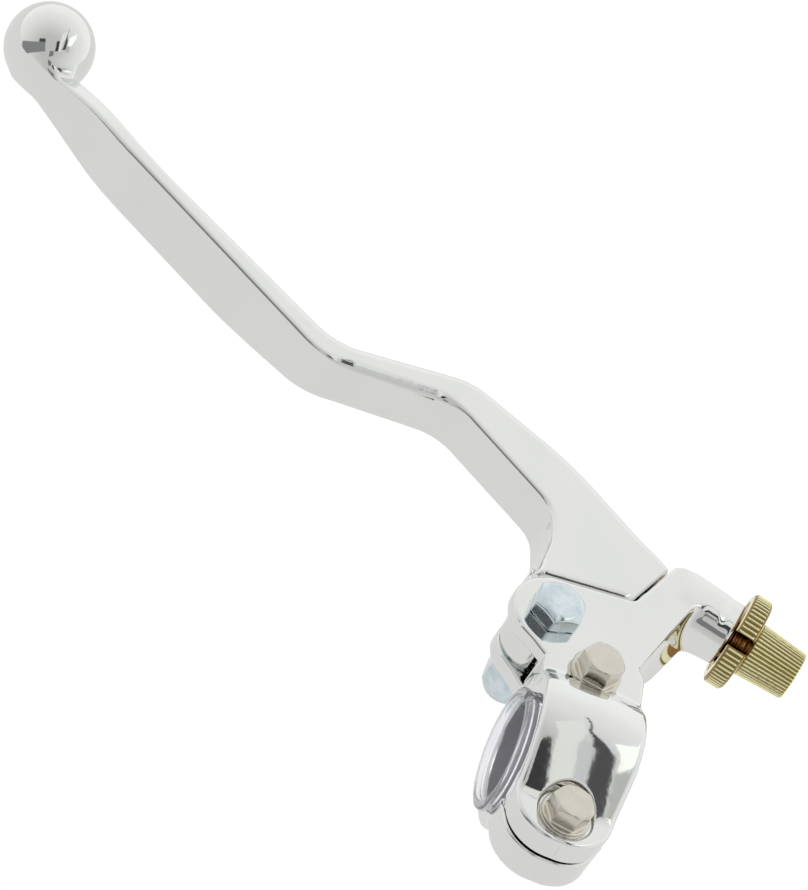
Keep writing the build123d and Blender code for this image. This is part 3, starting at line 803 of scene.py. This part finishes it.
# --------------------------------------------------------------------------------------
# Materials
# --------------------------------------------------------------------------------------
class Nodes:
    """A new material with a short way to add and link its nodes."""

    def __init__(self, name):
        self.material = bpy.data.materials.new(name)
        self.material.use_nodes = True
        self.tree = self.material.node_tree
        self.shader = self.tree.nodes["Principled BSDF"]
        self.object_coords = self.add("ShaderNodeTexCoord").outputs["Object"]

    def add(self, kind, **inputs):
        node = self.tree.nodes.new(kind)
        for key, value in inputs.items():
            name = key.replace("_", " ")
            if name in node.inputs:
                node.inputs[name].default_value = value
            else:
                setattr(node, key, value)
        return node

    def link(self, source, target):
        self.tree.links.new(source, target)

    def noise(self, scale, detail=3.0, roughness=0.55, stretch=(1, 1, 1)):
        mapping = self.add("ShaderNodeMapping", Scale=stretch)
        self.link(self.object_coords, mapping.inputs["Vector"])
        node = self.add("ShaderNodeTexNoise", Scale=scale, Detail=detail, Roughness=roughness)
        self.link(mapping.outputs["Vector"], node.inputs["Vector"])
        return node.outputs["Fac"]

    def spread(self, source, low, high, start=0.3, end=0.7):
        node = self.add("ShaderNodeMapRange")
        for key, value in zip(("From Min", "From Max", "To Min", "To Max"), (start, end, low, high)):
            node.inputs[key].default_value = value
        self.link(source, node.inputs["Value"])
        return node.outputs["Result"]

    def colours(self, source, *stops):
        node = self.add("ShaderNodeValToRGB")
        ramp_elements = node.color_ramp.elements
        while len(ramp_elements) < len(stops):
            ramp_elements.new(0.5)
        for element, (position, colour) in zip(ramp_elements, stops):
            element.position = position
            element.color = (*colour, 1)
        self.link(source, node.inputs["Fac"])
        return node.outputs["Color"]

    def bump(self, *layers):
        """Chained bumps from (height, distance in metres, strength)."""
        normal = None
        for height, distance, strength in layers:
            node = self.add("ShaderNodeBump", Strength=strength, Distance=distance)
            self.link(height, node.inputs["Height"])
            if normal is not None:
                self.link(normal, node.inputs["Normal"])
            normal = node.outputs["Normal"]
        self.link(normal, self.shader.inputs["Normal"])


def polished_aluminium():
    """Buffed casting: near-mirror, with slow waves from the wheel and faint fine haze."""
    m = Nodes("polished aluminium")
    m.shader.inputs["Metallic"].default_value = 1.0
    slow = m.noise(scale=60, detail=2)
    ripple = m.noise(scale=330, detail=3, roughness=0.5)
    fine = m.noise(scale=1400, detail=4, roughness=0.6)
    tint = m.colours(slow, (0.3, (0.80, 0.81, 0.80)), (0.7, (0.83, 0.835, 0.825)))
    m.link(tint, m.shader.inputs["Base Color"])
    m.link(m.spread(fine, low=0.03, high=0.08), m.shader.inputs["Roughness"])
    m.bump((slow, 0.0003, 0.06), (ripple, 0.00004, 0.35), (fine, 0.000008, 0.3))
    return m.material


def plated(name, dark, light, smoothest, roughest, grain):
    """Plated metal, mottled from a dark to a light tint."""
    m = Nodes(name)
    m.shader.inputs["Metallic"].default_value = 1.0
    patches = m.noise(scale=350, detail=3)
    fine = m.noise(scale=2600, detail=4, roughness=0.6)
    m.link(m.colours(patches, (0.35, dark), (0.65, light)), m.shader.inputs["Base Color"])
    m.link(m.spread(fine, smoothest, roughest), m.shader.inputs["Roughness"])
    m.bump((fine, 0.00003, grain))
    return m.material


def turned_brass():
    """Bright on the ridges, darkening to brown with depth: painted shade in the grooves and on the screw behind
    the barrel.
    """
    m = Nodes("brass")
    m.shader.inputs["Metallic"].default_value = 1.0
    # The recess attribute is a depth mask; the ramp below turns it into painted shade, from bright brass on the
    # ridges to dark brown deep down.
    recess = m.add("ShaderNodeAttribute", attribute_name="recess").outputs["Fac"]
    fine = m.noise(scale=2600, detail=3)
    tint = m.colours(
        recess,
        (0.0, (1.0, 0.96, 0.64)),
        (0.22, (0.8, 0.72, 0.36)),
        (0.45, (0.26, 0.21, 0.07)),
        (1.0, (0.34, 0.18, 0.06)),
    )
    m.link(tint, m.shader.inputs["Base Color"])
    m.link(m.spread(fine, low=0.1, high=0.2), m.shader.inputs["Roughness"])
    m.bump((fine, 0.00002, 0.15))
    return m.material


def clear_plastic():
    m = Nodes("clear plastic")
    m.shader.inputs["Base Color"].default_value = (0.90, 0.90, 0.935, 1)
    m.shader.inputs["IOR"].default_value = 1.5
    m.shader.inputs["Transmission Weight"].default_value = 0.9
    waves = m.noise(scale=180, detail=2)
    m.link(m.spread(waves, low=0.08, high=0.2), m.shader.inputs["Roughness"])
    m.bump((waves, 0.0003, 0.2))
    return m.material


def plain_plastic(name, colour):
    m = Nodes(name)
    grain = m.noise(scale=1500, detail=3)
    shade = tuple(c * 0.9 for c in colour)
    m.link(m.colours(grain, (0.3, shade), (0.7, colour)), m.shader.inputs["Base Color"])
    m.link(m.spread(grain, low=0.4, high=0.6), m.shader.inputs["Roughness"])
    m.bump((grain, 0.00003, 0.3))
    return m.material


SLOT_MATERIALS = {
    "polished_aluminium": polished_aluminium(),
    "zinc_steel": plated("zinc plate", (0.58, 0.67, 0.72), (0.74, 0.81, 0.84), 0.1, 0.2, 0.15),
    "nickel_steel": plated("nickel plate", (0.66, 0.63, 0.555), (0.70, 0.67, 0.60), 0.16, 0.26, 0.12),
    "brass": turned_brass(),
    "bronze": plated("bronze", (0.42, 0.27, 0.13), (0.55, 0.38, 0.2), 0.35, 0.5, 0.4),
    "clear_plastic": clear_plastic(),
    "nylon": plain_plastic("nylon", (0.78, 0.8, 0.83)),
}


def dress_cad_nodes():
    """Every CAD node gets its slot's material, seen on those that are not remodelled."""
    for part in frame["record"]["subparts"]:
        node = frame["nodes"][part["node"]]
        material = SLOT_MATERIALS[part["material_slot"]]
        if not node.material_slots:
            node.data.materials.append(material)
        for slot in node.material_slots:
            slot.link = "OBJECT"
            slot.material = material


# --------------------------------------------------------------------------------------
# Floor, room and lights
# --------------------------------------------------------------------------------------
FLOOR_DROP = 0.10
FLOOR_HALF = 4.0
SHEEN_LIFT = 0.001
SHEEN_STRENGTH = 0.79
ROOM_CENTRE = Vector((0, 0, 0.012))
WINDOW_DISTANCE, SHADE_DISTANCE = 0.95, 1.0
DIMMEST_WINDOW = 0.5
PANEL_CELLS = 16
LAMP_DISTANCE, LAMP_SIZE = 1.6, 1.2


def room_direction(across, above):
    """Unit vector from the clamp, in degrees to the right of and above the camera."""
    a, b = radians(across), radians(above)
    right, up, back = (CAMERA_TURN.col[i].to_3d() for i in range(3))
    return right * sin(a) * cos(b) + up * sin(b) + back * cos(a) * cos(b)


def emission(name, colour, strength):
    material = bpy.data.materials.new(name)
    material.use_nodes = True
    shader = material.node_tree.nodes["Principled BSDF"]
    shader.inputs["Base Color"].default_value = (0, 0, 0, 1)
    shader.inputs["Specular IOR Level"].default_value = 0
    shader.inputs["Emission Color"].default_value = (*colour, 1)
    shader.inputs["Emission Strength"].default_value = strength
    return material


def mirror_only(obj):
    """Adds a stage object that shows only in reflections and casts no shadow."""
    obj.visible_camera = False
    obj.visible_diffuse = False
    obj.visible_transmission = False
    obj.visible_shadow = False
    bpy.context.collection.objects.link(obj)


def panel(name, corners, distance, material):
    """Curved panel in the room between four (across, above) corner directions."""
    a, b, c, d = (np.array(corner, float) for corner in corners)
    points, faces = [], []
    for i, j in product(range(PANEL_CELLS + 1), repeat=2):
        u, v = i / PANEL_CELLS, j / PANEL_CELLS
        low, high = a + (b - a) * u, d + (c - d) * u
        points.append(ROOM_CENTRE + room_direction(*(low + (high - low) * v)) * distance)
    for i, j in product(range(PANEL_CELLS), repeat=2):
        k = i * (PANEL_CELLS + 1) + j
        across = k + PANEL_CELLS + 1
        faces.append((k, across, across + 1, k + 1))
    mesh = bpy.data.meshes.new(name)
    mesh.from_pydata(points, [], faces)
    mesh.materials.append(material)
    mirror_only(bpy.data.objects.new(name, mesh))


def square(name, half, z, material):
    mesh = bpy.data.meshes.new(name)
    corners = [(-half, -half, z), (half, -half, z), (half, half, z), (-half, half, z)]
    mesh.from_pydata(corners, [], [(0, 1, 2, 3)])
    mesh.materials.append(material)
    return bpy.data.objects.new(name, mesh)


def floor_paper():
    m = Nodes("floor paper")
    m.shader.inputs["Roughness"].default_value = 0.9
    m.shader.inputs["Specular IOR Level"].default_value = 0.1
    grain = m.noise(scale=40, detail=2)
    colour = m.colours(grain, (0.3, (0.94, 0.94, 0.94)), (0.7, (0.96, 0.96, 0.96)))
    m.link(colour, m.shader.inputs["Base Color"])
    return m.material


def add_world():
    """White tent: brightest behind the object, greyer towards the camera."""
    world = bpy.data.worlds.new("studio")
    world.use_nodes = True
    tree = world.node_tree
    place = tree.nodes.new("ShaderNodeTexCoord")
    dot = tree.nodes.new("ShaderNodeVectorMath")
    dot.operation = "DOT_PRODUCT"
    dot.inputs[1].default_value = camera_direction()
    tree.links.new(place.outputs["Generated"], dot.inputs[0])
    spread = tree.nodes.new("ShaderNodeMapRange")
    spread.inputs["From Min"].default_value = -1
    tree.links.new(dot.outputs["Value"], spread.inputs["Value"])
    shade = tree.nodes.new("ShaderNodeValToRGB")
    elements = shade.color_ramp.elements
    while len(elements) < len(TENT):
        elements.new(0.5)
    for element, (towards, value) in zip(elements, TENT):
        element.position = (towards + 1) / 2
        element.color = (value, value * 1.004, value * 0.996, 1)
    tree.links.new(spread.outputs["Result"], shade.inputs["Fac"])
    background = tree.nodes["Background"]
    tree.links.new(shade.outputs["Color"], background.inputs["Color"])
    background.inputs["Strength"].default_value = TENT_STRENGTH
    bpy.context.scene.world = world


# Brightness of the tent against the cosine of the angle from the camera
TENT = ((-0.8, 1.0), (-0.28, 0.97), (-0.05, 0.9), (0.28, 0.84), (0.68, 0.7), (0.9, 0.58))
TENT_STRENGTH = 1.02

COOL, WARM, GREEN = (0.97, 0.98, 1.0), (1.0, 0.96, 0.98), (0.98, 1.0, 0.95)
ROOM = (
    # name, colour, brightness, (across, above) corners in degrees from the camera
    ("grey room", COOL, 0.26, ((-75, -6), (-14, -6), (-14, 19), (-75, 19))),
    ("high shade", COOL, 0.08, ((-31, 19), (-14, 19), (-14, 27), (-31, 27))),
    ("left curtain", WARM, 0.05, ((11, -6), (20, -6), (24.5, 21), (17, 21))),
    ("wedge", WARM, 0.09, ((28, -2), (41, -2), (47, 18), (39, 18))),
    ("wedge tip", WARM, 0.09, ((39, 18), (47, 18), (51.5, 37), (50, 37))),
    ("wedge end", WARM, 0.07, ((50, 37), (51.5, 37), (69, 50), (68, 50.6))),
    ("right shade", WARM, 0.15, ((43, -3), (46.5, -3), (47, 4.5), (44, 4.5))),
    ("floor shade", WARM, 0.22, ((-6, -20), (6, -20), (9, -5), (-3, -5))),
    ("left window", GREEN, 0.88, ((20, -6), (27, -6), (33, 18), (25, 18))),
    ("left window top", GREEN, 0.88, ((25, 18), (33, 18), (58, 47), (35, 39))),
    ("middle window", COOL, 0.68, ((27, -6), (31, -2), (40, 18), (33, 18))),
    ("right window", GREEN, 0.55, ((41, -8), (52, -8), (54, 9), (45.5, 9))),
    ("right window top", GREEN, 1.2, ((46, 9), (58, 9), (88, 36), (56, 29))),
)


def add_studio():
    low = min(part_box(node)[0][2] for node in frame["nodes"]) - FLOOR_DROP
    floor = square("floor", FLOOR_HALF, low, floor_paper())
    bpy.context.collection.objects.link(floor)
    glow = emission("floor sheen", (1, 1, 0.99), SHEEN_STRENGTH)
    mirror_only(square("floor sheen", FLOOR_HALF, low + SHEEN_LIFT, glow))
    add_world()

    for name, colour, strength, corners in ROOM:
        distance = SHADE_DISTANCE if strength < DIMMEST_WINDOW else WINDOW_DISTANCE
        panel(name, corners, distance, emission(name, colour, strength))

    for name, direction, power in (
        ("key light", (-0.7, -0.2, 1.0), 9.0),
        ("fill light", (0.9, 0.5, 0.9), 7.0),
    ):
        light = bpy.data.lights.new(name, "AREA")
        light.energy = power
        light.size = LAMP_SIZE
        lamp = bpy.data.objects.new(name, light)
        way = Vector(direction).normalized()
        turn = way.to_track_quat("Z", "Y").to_matrix().to_4x4()
        lamp.matrix_world = Matrix.Translation(Vector(CAMERA_AIM) + way * LAMP_DISTANCE) @ turn
        lamp.visible_glossy = False
        bpy.context.collection.objects.link(lamp)
    bpy.context.scene.view_settings.view_transform = "Standard"


# --------------------------------------------------------------------------------------
# Build
# --------------------------------------------------------------------------------------
COARSE = 1.0
CASTING_STEP, LEVER_STEP = 0.32, 0.42
SLEEVE_STEP, BOLT_STEP, NUT_STEP, BARREL_STEP, WHEEL_STEP = 0.28, 0.16, 0.15, 0.13, 0.15
PIVOT_HEX_REACH = 5.8

ORIGIN = Matrix.Identity(4)
ADJUSTER_PLACE = Matrix((ADJ_AXIS, ADJ_SIDE, (0, 0, 1))).transposed().to_4x4()
ADJUSTER_PLACE.translation = ADJ_FACE


def seat(x, y, z):
    """Place of a fastener that stands upright on the point."""
    return Matrix.Translation((x, y, z))


def build(name, node, body, slot, field, low, high, step, place=ORIGIN, recess=None):
    """Meshes a field between two corners and sets the piece in place of its CAD node."""
    # recess, when given, is the depth mask for the painted shade on the brass.
    piece = solid_from_field(name, field, low, high, step * COARSE, place, recess)
    piece.data.materials.append(SLOT_MATERIALS[slot])
    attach(piece, body)
    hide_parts(node)


def build_castings():
    for name, node, body, field, low, high, step in (
        ("lever_casting", "lever", "lever", lever_field, LEVER_LOW, LEVER_HIGH, LEVER_STEP),
        ("bracket_casting", "bracket", "bracket", bracket_field, BRACKET_LOW, BRACKET_HIGH, CASTING_STEP),
        (
            "lower_clamp_casting", "lower_clamp", "bracket",
            lower_clamp_field, LOWER_LOW, LOWER_HIGH, CASTING_STEP,
        ),
    ):
        build(name, node, body, "polished_aluminium", field, low, high, step)


def build_sleeve():
    build(
        "bar_sleeve_moulding", "bar_sleeve", "bracket", "clear_plastic",
        sleeve_field, SLEEVE_LOW, SLEEVE_HIGH, SLEEVE_STEP,
    )


def build_fasteners():
    for name, node, y, z in (
        ("front_bolt", "front_clamp_bolt", FRONT_BOLT_Y, TOP_Z),
        ("rear_bolt", "rear_clamp_bolt", REAR_BOLT_Y, RECESS_Z),
    ):
        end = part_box(node)[0][2] / MM - z
        low, high = (-FLANGE_R, -FLANGE_R, end), (FLANGE_R, FLANGE_R, CLAMP_HEAD_H)
        build(
            name, node, "bracket", "nickel_steel",
            clamp_bolt(-end), low, high, BOLT_STEP, seat(0, y, z),
        )
    for name, node, field, bottom, top, step, z in (
        ("pivot_screw", "pivot_bolt", pivot_bolt_field, SHANK_LOW, PIVOT_HEAD_H, BOLT_STEP, TOP_Z),
        ("pivot_lock_nut", "pivot_nut", pivot_nut_field, -NUT_H, 0, NUT_STEP, NUT_BOX_HIGH[2]),
    ):
        low = (-PIVOT_HEX_REACH, -PIVOT_HEX_REACH, bottom)
        high = (PIVOT_HEX_REACH, PIVOT_HEX_REACH, top)
        build(name, node, "bracket", "zinc_steel", field, low, high, step, seat(PIVOT_X, PIVOT_Y, z))


def build_adjuster():
    """The adjuster's fields are written along its own axis, from the boss's face."""
    build(
        "adjuster_barrel", "cable_adjuster", "adjuster", "brass",
        adjuster_field, (-SHANK_IN_BOSS, -BARREL_R, -BARREL_R), (BARREL_END, BARREL_R, BARREL_R),
        BARREL_STEP, ADJUSTER_PLACE, barrel_painted_shade,
    )
    build(
        "knurled_wheel", "lock_wheel", "lock_wheel", "brass",
        wheel_field, (WHEEL_LOW, -WHEEL_R, -WHEEL_R), (WHEEL_HIGH, WHEEL_R, WHEEL_R),
        WHEEL_STEP, ADJUSTER_PLACE, wheel_painted_shade,
    )


add_camera()
dress_cad_nodes()
build_castings()
build_sleeve()
build_fasteners()
build_adjuster()
add_studio()
